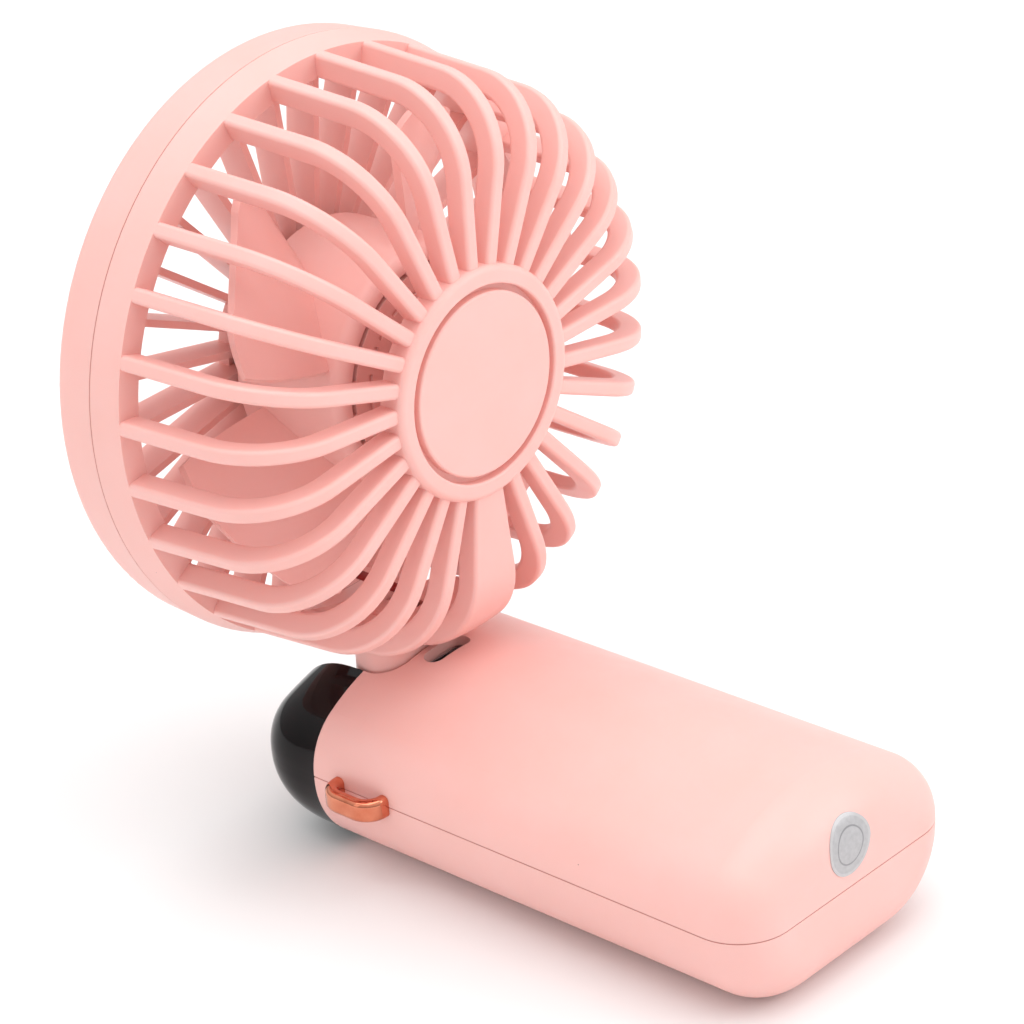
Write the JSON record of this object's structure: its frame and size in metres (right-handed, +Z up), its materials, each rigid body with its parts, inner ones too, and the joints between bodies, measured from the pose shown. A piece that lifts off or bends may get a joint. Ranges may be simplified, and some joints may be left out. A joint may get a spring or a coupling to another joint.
{
  "type": "handheld electric fan",
  "caption": "Handheld electric fan with a ribbed round head on a hinge, a flat-sided battery handle with a black nose, a charging slot and a lanyard loop.",
  "frame": {"origin": "bottom centre of the whole fan as it stands on the flat front face of its handle, with the head folded square to the handle", "axes": "+Z up, the fan blows towards -Y, the handle runs towards +Y, and the head folds about an axis along X"},
  "size_m": [0.1, 0.1146, 0.1307],
  "materials": {
    "pink_shell": "satin moulded",
    "pink_cage": "satin moulded",
    "black_nose": "polished",
    "rose_gold": "polished rose gold plating",
    "sticker": "satin film",
    "steel": "plain",
    "magnet": "matte",
    "laminate": "solder-masked fibreglass board",
    "copper": "enamelled winding",
    "brass": "turned",
    "nickel": "nickel strip",
    "cell_wrap": "shrink wrap",
    "black_plastic": "moulded",
    "white_plastic": "moulded",
    "light": "clear resin",
    "lead": "insulated lead"
  },
  "bodies": {
    "handle": {"hinge_shaft": "steel", "friction_washers": "steel", "shaft_clips": "steel", "hinge_ears": "steel", "hinge_cradle": "pink_shell", "ear_screws": "steel", "back_shell": "pink_shell", "front_shell": "pink_shell", "nose_cap": "black_nose", "lanyard_loop": "rose_gold", "inspection_sticker": "sticker", "battery_cell_left": "cell_wrap", "battery_cell_right": "cell_wrap", "battery_tray": "white_plastic", "cell_straps": "nickel", "main_board": "laminate", "board_parts": "black_plastic", "board_screws": "steel", "usb_c_port": "steel", "usb_c_tongue": "black_plastic", "light_board": "laminate", "charge_lights": "light", "button_board": "laminate", "button_switch": "black_plastic", "power_leads": "lead"},
    "head": {"rear_cage": "pink_cage", "neck_cover": "pink_cage", "neck_screws": "steel", "motor_screws": "brass", "front_grille": "pink_cage", "hub_disc": "pink_shell", "motor_board": "laminate", "bearing_tube": "brass", "motor_bearings": "steel", "stator_core": "steel", "motor_coils": "copper", "motor_leads": "lead"},
    "impeller": {"impeller": "pink_cage", "rotor_bell": "steel", "magnet_ring": "magnet", "motor_shaft": "steel"},
    "button": {"power_button": "pink_shell"}
  },
  "joints": [
    {"name": "head_fold", "type": "hinge", "parent": "handle", "child": "head", "pos_m": [0, -0.0333, 0.016], "axis": [1, 0, 0], "range_deg": [0, 90]},
    {"name": "impeller_spin", "type": "hinge", "parent": "head", "child": "impeller", "pos_m": [0, -0.035, 0.0807], "axis": [0, -1, 0], "continuous": true},
    {"name": "button_press", "type": "slide", "parent": "handle", "child": "button", "axis": [0, 0, 1], "range_m": [0, 0.0004], "stiffness_N_per_m": 2500}
  ]
}
